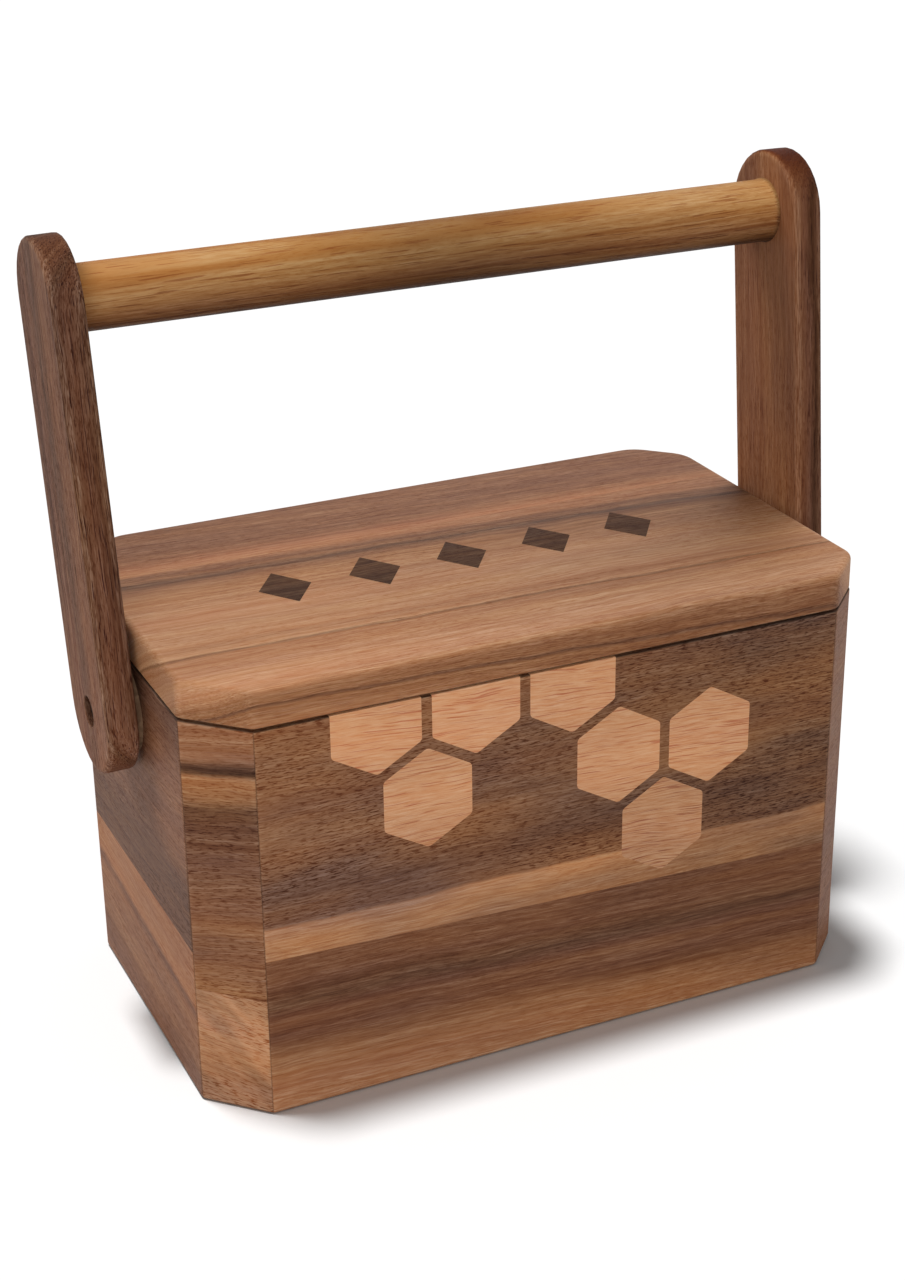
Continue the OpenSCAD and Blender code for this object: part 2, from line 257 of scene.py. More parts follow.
def stave_board(node, side, rows, low, high, finish):
    """One board of a stave as a stack of rings. A row gives how far its ring is inset at the outer and at
    the inner face, the share of the way from low to high, the lift of both faces from there, and the wear
    and the painted shade of the ring. Low and high are each a height at the middle of the case and a rise
    along x."""
    plan = stave_plan(side)
    around = len(plan)
    point = np.arange(around)
    first_inner = around - 2
    last_outer = around - 3
    # Steps from the nearest mitre, which are below 0 at the inner corners
    step = np.minimum(point, last_outer - point)
    outer, inner, share, lift, inner_lift, wear, dark = np.array(rows).T[:, :, None]
    place = (plan + outer[..., None] * inset_move(plan, 1.0 * (point < last_outer))
             + inner[..., None] * inset_move(plan, 1.0 * (point == first_inner)))
    foot = low[0] + low[1] * place[..., 0]
    head = high[0] + high[1] * place[..., 0]
    height = foot + share * (head - foot) + np.where(step < 0, inner_lift, lift)
    points = np.concatenate([place, height[..., None]], axis=-1)
    mitre = np.where(step == 0, MITRE_DARK, 0)
    arris = np.where((step >= 0) & (step <= ARRIS_STEPS), ARRIS_WEAR, 0)
    faces = capped_faces(len(rows), around)
    return stand_in(node, points, faces, finish, np.maximum(wear, arris), np.maximum(mitre, dark))


def upper_rows():
    """Rows of an upper board: square at the glue joint, eased round the rim, where shade is painted under the lid.
    """
    ease = zip(quarter_round(RIM_EASE, RIM_STEPS), GAP_SHADE)
    edge = [(inset, inset, 1, -drop, -drop, 1, dark) for (inset, drop), dark in ease]
    stop = RIM_EASE + FADE
    return [(0, 0, 0, 0, 0, 0, 0), (0, 0, 1, -stop, -stop, 0, 0), *edge, (stop, stop, 1, 0, 0, 0, 0)]


def lower_rows():
    """Rows of a lower board: eased round the foot outside, rabbeted for the bottom board inside, and
    square at the glue joint."""
    foot = quarter_round(BASE_EASE, BASE_STEPS)[::-1]
    climb = np.linspace(0, BOTTOM, len(foot) + 2)
    edge = [(inset, RABBET, 0, drop, rise, 1, 0) for (inset, drop), rise in zip(foot, climb[1:])]
    stop = BASE_EASE + FADE
    return [(stop, RABBET, 0, 0, 0, 0, 0), *edge, (0, RABBET, 0, stop, BOTTOM, 0, 0),
            (0, 0, 0, 2 * stop, BOTTOM, 0, 0), (0, 0, 1, 0, 0, 0, 0)]


def soft_octagon(radii):
    """Outline of the case with rounded corners, as one row of points for each corner: a point where the
    wear ends on the edge before it, an arc of 45 degrees, and a point where it ends on the edge after."""
    plan = case_plan()
    out = outward(plan)
    along = np.stack([-out[:, 1], out[:, 0]], axis=1)
    radius = radii[:, None]
    setback = radius * np.tan(HALF_TURN)
    turn = np.linspace(-2 * HALF_TURN, 0, LID_CORNER_STEPS + 1)
    arc = (plan[:, None] + (setback + radius * np.sin(turn))[..., None] * along[:, None]
           + (radius * (np.cos(turn) - 1))[..., None] * out[:, None])
    before = plan - (setback + FADE) * np.roll(along, 1, axis=0)
    after = plan + (setback + FADE) * along
    return np.concatenate([before[:, None], arc, after[:, None]], axis=1)


def lid_board(node, corner_numbers, joint_ends, finish):
    """One lid board as a stack of rings: eased below, where shade is painted, rounded by a quarter circle on
    top, and square at the glue joint, whose edge isn't inset."""
    outline = soft_octagon(LID_CORNERS)[corner_numbers]
    plan = np.concatenate([outline.reshape(-1, 2), joint_ends])
    around = len(plan)
    weight = np.ones(around)
    weight[-2] = 0
    # The underside's easing carries painted shade where the lid meets the case
    ease = zip(quarter_round(LID_EASE, LID_EASE_STEPS)[::-1], GAP_SHADE[::-1])
    underside = [(inset, drop, LID_WEAR, dark) for (inset, drop), dark in ease]
    height = LID_TOP - LID_FOOT
    arch = quarter_round(LID_ROUND, LID_ROUND_STEPS)
    crown = [(inset, height - drop, LID_WEAR, 0) for inset, drop in arch]
    rows = [(LID_EASE + FADE, 0, 0, 0), *underside, (0, LID_EASE + FADE, 0, 0),
            (0, height - LID_ROUND - FADE, 0, 0), *crown, (LID_ROUND + FADE, height, 0, 0)]
    inset, lift, wear, dark = np.array(rows).T[:, :, None]
    place = plan + inset[..., None] * inset_move(plan, weight)
    level = np.broadcast_to(LID_FOOT + lift, place.shape[:2])
    points = np.concatenate([place, level[..., None]], axis=-1)
    arris = np.zeros(outline.shape[:2])
    arris[:, 1:-1] = LID_WEAR
    marks = np.maximum(wear, np.append(arris, [0, 0]))
    return stand_in(node, points, capped_faces(len(rows), around), finish, marks, dark + 0 * marks)


def inlay(node, plan, weight, depth, place, finish):
    """A flat inlay as a stack of rings with an eased face: the easing of each edge has its own weight, and
    place turns the plan and its height above the board into points."""
    ease = quarter_round(INLAY_EASE, INLAY_STEPS)
    edge = [(inset, PROUD - drop, INLAY_WEAR) for inset, drop in ease]
    inset, lift, wear = np.array([(0, -depth, 0), *edge]).T[:, :, None]
    flat = plan + inset[..., None] * inset_move(plan, weight)
    points = place(flat[..., 0], flat[..., 1], np.broadcast_to(lift, flat.shape[:2]))
    return stand_in(node, points, capped_faces(len(lift), len(plan)), finish, wear + 0 * flat[..., 0])


def rounded_hexagon(width):
    """Upright hexagon of this width between two sides, with an arc of 60 degrees at each corner."""
    corner = np.radians(90 + 60 * np.arange(6))[:, None]
    arc = corner + np.radians(np.linspace(-30, 30, CELL_STEPS + 1))
    reach = (width / 2 - CELL_ROUND) / np.cos(np.radians(30))
    return np.stack([reach * np.cos(corner) + CELL_ROUND * np.cos(arc),
                     reach * np.sin(corner) + CELL_ROUND * np.sin(arc)], axis=-1).reshape(-1, 2)


def honeycomb_cell(node, finish):
    """A cell in the front face. The rim cuts off what would stand above it, and its edge there is eased as
    the rim is."""
    low, high = corners(node)
    hexagon = rounded_hexagon(high[0] - low[0])
    plan = hexagon + [(low[0] + high[0]) / 2, low[2] - hexagon[:, 1].min()]
    plan[:, 1] = np.minimum(plan[:, 1], RIM + PROUD)
    cut = (plan[:, 1] > RIM) & (np.roll(plan[:, 1], -1) > RIM)
    weight = np.where(cut, RIM_EASE / INLAY_EASE, 1)

    def on_front(x, z, lift):
        return np.stack([x, -HALF_DEPTH - lift, z], axis=-1)

    return inlay(node, plan, weight, high[1] - low[1], on_front, finish)


def lid_lozenge(node, finish):
    """A lozenge in the top of the lid, between the middles of the sides of its solid's box."""
    low, high = corners(node)
    middle = (low + high) / 2
    plan = np.array([(low[0], middle[1]), (middle[0], low[1]), (high[0], middle[1]), (middle[0], high[1])])

    def on_lid(x, y, lift):
        return np.stack([x, y, LID_TOP + lift], axis=-1)

    return inlay(node, plan, np.ones(len(plan)), high[2] - low[2], on_lid, finish)


def arm_axes(side):
    """The way up and the way out of a leaning arm, on the left (-1) or on the right (1)."""
    up = np.cos(ARM_SPLAY) * HANDLE_UP + side * np.sin(ARM_SPLAY) * X
    out = side * np.cos(ARM_SPLAY) * X - np.sin(ARM_SPLAY) * HANDLE_UP
    return up, out


def arm(node, side, finish):
    """An arm as a ring of rings: out over its inner face, round its eased rim, in over its outer face,
    and down the counterbore and the bore. A rim point is a foot on the arm's middle line plus a radius
    along a normal. The feet of the straight sides lie where rays from the pivot at even angles meet them.
    The rings of the bores are moved up the arm with depth, which keeps them on the pivot axis."""
    rays = np.tan(ARM_RAYS) * ARM_RADIUS
    bow = np.linspace(0, np.pi, ARM_BOW_STEPS + 1)
    up = np.concatenate([rays, np.full_like(bow, REACH), rays[::-1], np.zeros_like(bow)])
    turn = np.concatenate([np.zeros_like(rays), bow, np.full_like(rays, np.pi), np.pi + bow])
    normal = np.stack([np.cos(turn), np.sin(turn)], axis=1)
    foot = np.stack([np.zeros_like(up), up], axis=1)
    ray = unit(foot + ARM_RADIUS * normal)

    def rim(inset):
        return foot + (ARM_RADIUS - inset) * normal

    def bore(radius, depth):
        return ray * radius + [0, depth * np.sin(ARM_SPLAY)]

    edge = quarter_round(ARM_EASE, ARM_STEPS)
    stop = ARM_EASE + FADE
    floor = ARM_THICK - COUNTERBORE_DEPTH
    mouth = COUNTERBORE_RADIUS + HOLE_EASE
    # Each ring has its points, its depth from the inner face, its wear and its painted shade, full in the bores
    rings = [(bore(BORE_RADIUS, 0), 0, 0, 1), (bore(BORE_RADIUS + FADE, 0), 0, 0, 0), (rim(stop), 0, 0, 0),
             *[(rim(inset), drop, 1, 0) for inset, drop in edge[::-1]],
             (rim(0), stop, 0, 0), (rim(0), ARM_THICK - stop, 0, 0),
             *[(rim(inset), ARM_THICK - drop, 1, 0) for inset, drop in edge],
             (rim(stop), ARM_THICK, 0, 0), (bore(mouth + FADE, ARM_THICK), ARM_THICK, 0, 0),
             (bore(mouth, ARM_THICK), ARM_THICK, MOUTH_WEAR, 0),
             (bore(COUNTERBORE_RADIUS, ARM_THICK), ARM_THICK - HOLE_EASE, MOUTH_WEAR, MOUTH_SHADE),
             (bore(COUNTERBORE_RADIUS, floor), floor, 0, 1), (bore(BORE_RADIUS, floor), floor, 0, 1)]
    plan = np.array([ring[0] for ring in rings])
    depth = np.array([ring[1] for ring in rings])[:, None, None]
    wear, dark = np.array([ring[2:] for ring in rings]).T[:, :, None] + 0 * up
    grain, out = arm_axes(side)
    points = (PIVOT + side * ARM_IN * X + side * plan[..., :1] * HANDLE_BACK + plan[..., 1:] * grain
              + depth * out)
    return stand_in(node, points, ring_faces(len(rings), len(up), closed=True), finish, wear, dark, grain)


def grip_dowel(finish):
    """The grip as a turned surface: its radius swells a little along x, as a hand-sanded dowel does, and
    a bead of glue stands round it where it enters an arm. Its middle is darker."""
    away, share = BEAD_PROFILE.T
    run = GRIP_IN - away * MM
    height = BEAD * share
    middle = np.linspace(-GRIP_RUN, GRIP_RUN, GRIP_ALONG) * GRIP_IN
    x = np.concatenate([[grip_low[0]], -run[::-1], middle, run, [grip_high[0]]])
    bead = np.concatenate([[0], height[::-1], 0 * middle, height, [0]])
    swell = sum(part * np.sin(x / length) for part, length in SWELLS)
    radius = (GRIP_RADIUS * (1 + swell) + bead)[:, None]
    turn = np.linspace(0, 2 * np.pi, GRIP_AROUND, endpoint=False)
    points = np.stack([x[:, None] + 0 * turn,
                       GRIP[1] + radius * np.cos(turn),
                       GRIP[2] + radius * np.sin(turn)], axis=-1)
    dark = BEAD_DARK * bead / BEAD + MIDDLE_DARK * np.exp(-(x / MIDDLE_REACH) ** 2)
    faces = capped_faces(len(x), GRIP_AROUND)
    return stand_in("grip", points, faces, finish, glue=np.repeat(dark, GRIP_AROUND))


def tone(code):
    """Linear colour of an sRGB code."""
    srgb = np.array([int(code[k:k + 2], 16) for k in (0, 2, 4)]) / 255
    linear = np.where(srgb <= 0.04045, srgb / 12.92, ((srgb + 0.055) / 1.055) ** 2.4)
    return (*linear.tolist(), 1.0)


class Finish:
    """A material under construction. Each method adds nodes and returns the output to plug in next."""

    def __init__(self, name):
        self.material = bpy.data.materials.new(name)
        self.material.use_nodes = True
        self.tree = self.material.node_tree
        self.tree.nodes.clear()
        self.position = self.node("ShaderNodeTexCoord").outputs["Object"]

    def node(self, kind, inputs=None, **settings):
        """A new node with these settings, whose inputs are linked or set to values."""
        made = self.tree.nodes.new(kind)
        for name, value in settings.items():
            setattr(made, name, value)
        for key, value in (inputs or {}).items():
            if isinstance(value, bpy.types.NodeSocket):
                self.tree.links.new(value, made.inputs[key])
            else:
                made.inputs[key].default_value = value
        return made

    def math(self, operation, *values):
        """The result of an operation on these values."""
        return self.node("ShaderNodeMath", dict(enumerate(values)), operation=operation).outputs[0]

    def sum(self, first, *parts):
        """First plus each weight times its value."""
        for weight, value in parts:
            first = self.math("MULTIPLY_ADD", value, weight, first)
        return first

    def distance(self, direction, origin=np.zeros(3)):
        """How far the surface point lies from the origin along a direction, in millimetres."""
        dot = self.node("ShaderNodeVectorMath", {0: self.position, 1: direction / MM},
                        operation="DOT_PRODUCT")
        return self.math("SUBTRACT", dot.outputs["Value"], float(origin @ direction / MM))

    def noise(self, places, kind, seed=0.0, detail=2.0, roughness=0.5):
        """Noise around 0.5. Its kind gives the number of features in a millimetre along each coordinate,
        and a seed of its own that adds to the board's."""
        scales, own_seed = kind
        scaled = [self.math("MULTIPLY_ADD", place, scale, seed + own_seed)
                  for place, scale in zip(places, scales)]
        vector = self.node("ShaderNodeCombineXYZ", dict(enumerate(scaled))).outputs[0]
        made = self.node("ShaderNodeTexNoise", {"Vector": vector, "Scale": 1.0, "Detail": detail,
                                                "Roughness": roughness})
        return made.outputs[0]

    def swing(self, places, kind, seed, detail=2.0, roughness=0.5):
        """Noise stretched so that it runs from about -1 to 1."""
        plain = self.noise(places, kind, seed, detail, roughness)
        return self.node("ShaderNodeMapRange", {0: plain, 1: 0.3, 2: 0.7, 3: -1.0, 4: 1.0}).outputs[0]

    def between(self, value, low, high):
        """A smooth step from 0 at low to 1 at high."""
        made = self.node("ShaderNodeMapRange", {0: value, 1: low, 2: high}, interpolation_type="SMOOTHSTEP")
        return made.outputs[0]

    def layers(self, value, stops):
        """Colour that runs through the stops, which are (millimetres, code), as value grows."""
        low, high = stops[0][0], stops[-1][0]
        share = self.node("ShaderNodeMapRange", {0: value, 1: low, 2: high}).outputs[0]
        made = self.node("ShaderNodeValToRGB", {0: share})
        elements = made.color_ramp.elements
        while len(elements) < len(stops):
            elements.new(0.5)
        for element, (place, code) in zip(elements, stops):
            element.position = (place - low) / (high - low)
            element.color = tone(code)
        return made.outputs[0]

    def deepen(self, colour, gain, power, warmth):
        """A colour times a gain, raised to a power. Warmth adds to the power of its blue, and a third of it
        to the power of its green."""
        lit = self.node("ShaderNodeVectorMath", {0: colour, "Scale": gain}, operation="SCALE")
        split = self.node("ShaderNodeSeparateColor", {0: lit.outputs[0]})
        powers = (power, self.sum(power, (0.33, warmth)), self.math("ADD", power, warmth))
        parts = [self.math("POWER", split.outputs[k], powers[k]) for k in range(3)]
        return self.node("ShaderNodeCombineColor", dict(enumerate(parts))).outputs[0]

    def mix(self, share, first, second):
        """The first colour where the share is 0, and the second where it is 1."""
        made = self.node("ShaderNodeMix", {0: share, 6: first, 7: second}, data_type="RGBA")
        return made.outputs[2]

    def mark(self, name):
        """A number that the mesh carries on its points, or 0 where it carries none."""
        return self.node("ShaderNodeAttribute", attribute_name=name).outputs["Fac"]

    def close(self, colour, roughness, height, depth, **sockets):
        """Ends the material in a shader whose bump is height times depth, in metres."""
        bump = self.node("ShaderNodeBump", {"Height": height, "Distance": depth, "Strength": 1.0})
        shader = self.node("ShaderNodeBsdfPrincipled", {"Base Color": colour, "Roughness": roughness,
                                                        "Normal": bump.outputs[0], **sockets})
        self.node("ShaderNodeOutputMaterial", {0: shader.outputs[0]})
        return self.material


# The noises of the woods: features in a millimetre along the grain, across it and in depth, and a seed
DRIFT = (0.009, 0.03, 0.03), 3.1
RIPPLE = (0.06, 0.12, 0.12), 7.7
HAIRS = (0.16, 2.6, 2.6), 5.3
BROAD_STREAKS = (0.004, 0.16), 11.7
NARROW_STREAKS = (0.025, 1.0), 23.9
VEINS = (0.008, 0.4), 37.1
CLOUDS = (0.02, 0.07, 0.07), 41.3
CURLS = (0.16, 0.11, 0.11), 47.7
CROWDS = (0.015, 0.05, 0.05), 53.9
PEPPER = (0.42, 2.9, 2.9), 17.9
DASHES = (0.09, 3.2, 3.2), 29.3
# How far ripples move the layers, as a share of the warp, and how far hair lines fray layers and veins
RIPPLE_SHARE = 0.25
LAYER_FRAY = 0.3
VEIN_FRAY = 0.05
# Slant of the curls, and how thick pores are where they don't crowd
CURL_SLANT = 1.2
SPARSE = 0.3
# Where in their noise these marks begin and where they are full
VEIN_RANGE = 0.52, 0.68
CROWD_RANGE = 0.34, 0.58
PEPPER_RANGE = 0.50, 0.66
DASH_RANGE = 0.61, 0.68
WEAR_RANGE = -0.8, 0.4
# Where a board's fade begins and ends along the grain, in millimetres. The fade darkens a board towards one end:
# partly painted shade, partly the wood's own tone.
FADE_RANGE = -75.0, 75.0
# Share of the pepper that is left in sapwood, and where its change to the full share begins and ends
SAP_PEPPER, SAP_START, SAP_STOP = 0.25, -0.5, 1.5
# Glue, painted shade and the grip's darker middle: their tone, and how much of the wood they hide
GLUE_AND_SHADE_TONE, GLUE_AND_SHADE_COVER = "1d110a", 0.8
# The varnish: its roughness on plain wood, and how deep pores and hair lines show in it
VARNISH = 0.54
VARNISH_DEPTH = 0.05 * MM


def wood(name, along, across, origin, layers, slope=0.0, tilt=0.3, seed=0.0, gain=1.0, warp=1.5, fan=0.0,
         twist=0.0, streaks=0.08, veins=0.12, hairs=0.12, pepper=0.2, dashes=0.15, clouds=0.15, curls=0.0,
         fade=0.0, ends=0.0, sapwood=None, shine=0.12):
    """Varnished wood. Its growth layers stack up along across, from the origin in millimetres, and the
    grain runs along along, turned by slope degrees. Tilt is how fast the layers shift with depth, warp how
    far they wander, and fan and twist how much more they slope and tilt with every millimetre. The colour
    of a layer is multiplied by a gain, which clouds, curls across the grain and a fade along it change; the
    fade is partly painted shade. It is then raised to a power of about 1, which streaks, dark veins, hair
    lines, short peppery pores, long pore dashes, worn edges and end grain change. Layers below sapwood have
    little pepper."""
    finish = Finish(name)
    turn = np.radians(slope)
    grain = np.cos(turn) * along + np.sin(turn) * across
    stack = np.cos(turn) * across - np.sin(turn) * along
    u = finish.distance(grain, origin)
    v = finish.distance(stack, origin)
    w = finish.distance(np.cross(along, across), origin)
    drift = finish.swing((u, v, w), DRIFT, seed)
    ripple = finish.swing((u, v, w), RIPPLE, seed)
    spread = finish.math("MULTIPLY", finish.math("MULTIPLY", u, v), fan)
    sunk = finish.math("MULTIPLY", w, finish.sum(tilt, (twist, u)))
    ring = finish.sum(v, (1.0, spread), (1.0, sunk), (warp, drift), (RIPPLE_SHARE * warp, ripple))
    fibre = (u, ring, w)
    hair = finish.swing(fibre, HAIRS, seed, detail=3.0, roughness=0.6)
    broad = finish.swing((u, ring), BROAD_STREAKS, seed)
    narrow = finish.swing((u, ring), NARROW_STREAKS, seed, detail=3.0)
    ragged = finish.sum(finish.noise((u, ring), VEINS, seed, detail=3.0), (VEIN_FRAY, hair))
    vein = finish.between(ragged, *VEIN_RANGE)
    cloud = finish.swing(fibre, CLOUDS, seed)
    curl = finish.swing((finish.sum(u, (CURL_SLANT, v)), v, w), CURLS, seed)
    crowd = finish.between(finish.noise((u, v, w), CROWDS, seed), *CROWD_RANGE)
    speck = finish.between(finish.noise(fibre, PEPPER, seed, roughness=0.6), *PEPPER_RANGE)
    dash = finish.between(finish.noise(fibre, DASHES, seed, detail=1.0), *DASH_RANGE)
    pore = finish.math("MULTIPLY", speck, finish.sum(SPARSE, (1.0 - SPARSE, crowd)))
    if sapwood is not None:
        share = finish.node("ShaderNodeMapRange", {0: ring, 1: sapwood + SAP_START, 2: sapwood + SAP_STOP,
                                                   3: SAP_PEPPER, 4: 1.0})
        pore = finish.math("MULTIPLY", pore, share.outputs[0])
    wear = finish.math("MULTIPLY", finish.mark("wear"), finish.between(hair, *WEAR_RANGE))
    faded = finish.between(u, *FADE_RANGE)
    bright = finish.sum(gain, (clouds, cloud), (curls, curl), (-fade, faded))
    power = finish.sum(1.0 - 0.25 * pepper - 0.2 * veins, (-0.8 * streaks, broad), (-streaks, narrow),
                       (veins, vein), (-hairs, hair), (pepper, pore), (dashes, dash), (-0.15, wear),
                       (ends, finish.mark("end")))
    warmth = finish.sum(0.0, (0.3 * clouds, cloud), (0.4 * streaks, broad), (-0.4 * dashes, dash))
    frayed = finish.sum(ring, (LAYER_FRAY, hair))
    toned = finish.deepen(finish.layers(frayed, layers), bright, power, warmth)
    # The dark tone stands for glue and paints shade in the gaps and bores
    covered = finish.math("MULTIPLY", finish.mark("glue"), GLUE_AND_SHADE_COVER)
    glued_and_shaded = finish.mix(covered, toned, tone(GLUE_AND_SHADE_TONE))
    rough = finish.sum(VARNISH, (0.04, hair), (0.12, pore), (0.12, dash), (0.05, wear))
    height = finish.sum(0.0, (0.2, hair), (-0.5, pore), (-0.5, dash), (0.1, narrow))
    return finish.close(glued_and_shaded, rough, height, VARNISH_DEPTH, **{"Specular IOR Level": shine})


# The metals: the plain and the worn tone, and the roughness
STEEL = "2b2826", "6e6862", 0.42
BRASS = "a8823c", "d0ac66", 0.34
# Their noises along x, y and z, where the worn places begin and are full, and the depth of the scratches
PATCHES = (0.5, 0.5, 0.5), 2.7
SCRATCHES = (0.3, 6.0, 6.0), 8.1
RUBBED_RANGE = 0.68, 0.85
SCRATCH_DEPTH = 0.02 * MM
# Pressed fibre: its two tones, and the same for its flecks and its fuzz
FIBRE = "6f543f", "876a51"
FLECKS = (0.6, 0.6, 0.6), 4.4
FLECK_RANGE = 0.35, 0.65
FUZZ = (5.0, 5.0, 5.0), 9.2
FUZZ_DEPTH = 0.02 * MM


def metal(name, plain, worn, roughness):
    """Metal with fine scratches along x, a patchy finish and bright worn places."""
    finish = Finish(name)
    place = [finish.distance(axis) for axis in (X, Y, Z)]
    patches = finish.noise(place, PATCHES, detail=3.0)
    lines = finish.noise(place, SCRATCHES)
    rubbed = finish.between(finish.sum(patches, (0.3, lines)), *RUBBED_RANGE)
    colour = finish.mix(rubbed, tone(plain), tone(worn))
    rough = finish.sum(roughness - 0.1, (0.12, patches), (0.08, lines))
    return finish.close(colour, rough, lines, SCRATCH_DEPTH, Metallic=1.0)


def fibre_board(name):
    """Pressed fibre of the washers: faintly mottled, with a little fuzz."""
    finish = Finish(name)
    place = [finish.distance(axis) for axis in (X, Y, Z)]
    flecks = finish.between(finish.noise(place, FLECKS), *FLECK_RANGE)
    fuzz = finish.noise(place, FUZZ)
    colour = finish.mix(flecks, tone(FIBRE[0]), tone(FIBRE[1]))
    rough = finish.sum(0.5, (0.2, fuzz))
    return finish.close(colour, rough, fuzz, FUZZ_DEPTH, **{"Specular IOR Level": 0.1})


# The tones of the woods, from dark to pale
EBONY, COCOA, BARK, UMBER = "3d2517", "482c1b", "573725", "653f2c"
WALNUT, CHESTNUT, RUSSET, HAZEL = "70472f", "7b4f35", "855739", "93603f"
OCHRE, CARAMEL, HONEY, WHEAT, CREAM = "9f6b46", "ab734d", "b87f57", "c88f65", "d2956a"
# The tones of the grip, which is of a yellower wood
TEAK, OAK, AMBER, STRAW = "482d18", "7b5130", "9f6f3f", "bc8850"

# The growth layers of each board: millimetres from its origin, and the tone there
FRONT_HEART = [(38, OCHRE), (48, CARAMEL), (50.5, HONEY), (51.3, CHESTNUT), (60, WALNUT), (70, RUSSET),
               (80, CHESTNUT), (92, RUSSET), (104, CHESTNUT)]
FRONT_FOOT = [(-4, CARAMEL), (6, OCHRE), (12, RUSSET), (15, WALNUT), (18, UMBER), (22, WALNUT),
              (24, UMBER), (27, BARK), (33, WALNUT), (46, WALNUT)]
CORNER_BANDS = [(28, RUSSET), (45, RUSSET), (60, CHESTNUT), (72, WALNUT), (80, BARK), (83, RUSSET),
                (88, HAZEL), (89.5, COCOA), (91.5, BARK), (93, RUSSET), (94.5, HAZEL), (106, HAZEL)]
PALE_BLOCK = [(-4, HAZEL), (12, HAZEL), (20, CARAMEL), (36, OCHRE)]
END_HEART = [(38, BARK), (55, BARK), (70, CHESTNUT), (85, CHESTNUT), (106, BARK)]
END_FOOT = [(-4, CHESTNUT), (8, WALNUT), (14, RUSSET), (24, RUSSET), (27.5, UMBER), (30, HAZEL),
            (46, HAZEL)]
PLAIN_CORNER = [(28, CHESTNUT), (60, CHESTNUT), (75, RUSSET), (106, CHESTNUT)]
LID_FRONT = [(-70, CARAMEL), (-63, HAZEL), (-61, HAZEL), (-60, UMBER), (-59, HAZEL), (-57, HAZEL),
             (-54.5, CARAMEL), (-53, HONEY), (-50, WHEAT), (-45, WHEAT), (-34, HONEY), (-32.5, HONEY),
             (-31.5, RUSSET), (-30.5, WHEAT), (-27.5, HONEY), (-25.5, WHEAT), (-10, WHEAT), (4, OCHRE),
             (10, RUSSET), (12.5, BARK), (15, RUSSET), (17, CHESTNUT), (20.5, CARAMEL), (26, CARAMEL)]
LID_BACK = [(14, OCHRE), (24, CARAMEL), (27, HAZEL), (30, RUSSET), (34, CHESTNUT), (58, CHESTNUT)]
LEFT_ARM = [(-22, BARK), (-19, UMBER), (-16.5, BARK), (-14.5, UMBER), (-8, WALNUT), (0, BARK), (6, UMBER),
            (17, BARK)]
RIGHT_ARM = [(-17, UMBER), (-14.5, COCOA), (-13, UMBER), (-11, WALNUT), (-8, CHESTNUT), (0, RUSSET),
             (10, CHESTNUT), (23, CHESTNUT)]
# The grip's layers stack upwards, dark below and pale on top: painted shade and light over its own tone
GRIP_SHADED_LAYERS = [(-10, EBONY), (-5, TEAK), (1, OAK), (6, AMBER), (10, STRAW)]
CELL_LAYERS = [(-15, WHEAT), (0, CREAM), (15, WHEAT)]
LOZENGE_LAYERS = [(-15, EBONY), (0, COCOA), (15, EBONY)]
BOTTOM_LAYERS = [(-60, CHESTNUT), (-20, HAZEL), (10, CHESTNUT), (60, RUSSET)]
BATTEN_LAYERS = [(-90, RUSSET), (90, CHESTNUT)]

# The grain of each kind of board
FIGURED = dict(warp=1.0, streaks=0.06, veins=0.08, hairs=0.16, pepper=0.60, dashes=0.15, clouds=0.26)
STREAKED = dict(warp=1.2, streaks=0.09, veins=0.14, hairs=0.18, pepper=0.12, dashes=0.10, clouds=0.12)
CALM = dict(warp=1.5, streaks=0.06, veins=0.10, hairs=0.16, pepper=0.25, dashes=0.10, clouds=0.12)
BANDED = dict(warp=1.8, streaks=0.10, veins=0.18, hairs=0.13, pepper=0.45, dashes=0.15, clouds=0.22)
CURLY = dict(warp=1.2, streaks=0.04, veins=0.06, hairs=0.10, pepper=0.80, dashes=0.12, clouds=0.20,
             curls=0.24)
LID_GRAIN = dict(fan=0.0008, streaks=0.12, veins=0.14, hairs=0.16, pepper=0.2, dashes=0.22, clouds=0.05)
# The lid front's fade paints shade that darkens it towards the right, over its own tone
LID_FRONT_GRAIN = dict(LID_GRAIN, tilt=1.2, twist=-0.005, fade=0.30)
LID_BACK_GRAIN = dict(LID_GRAIN, tilt=0.8, veins=0.08)
LEFT_ARM_GRAIN = dict(streaks=0.10, veins=0.24, hairs=0.16, pepper=0.35, dashes=0.60, clouds=0.1, tilt=0.8,
                      shine=0.05, gain=1.68, fade=0.75, ends=0.25)
RIGHT_ARM_GRAIN = dict(streaks=0.08, veins=0.08, hairs=0.10, pepper=0.2, dashes=0.3, clouds=0.1, tilt=0.8,
                       shine=0.05, ends=1.0)
GRIP_GRAIN = dict(warp=0.5, streaks=0.12, veins=0.30, hairs=0.13, pepper=0.12, dashes=0.45, clouds=0.1,
                  tilt=0.5, gain=1.13)
CELL_GRAIN = dict(streaks=0.05, veins=0.05, hairs=0.15, pepper=0.06, dashes=0.60, clouds=0.07)
# How bright each honeycomb cell is: partly each cell's own tone, partly painted shade
CELL_GAINS = (1.03, 1.10, 0.99, 0.98, 0.95, 0.96, 0.77)

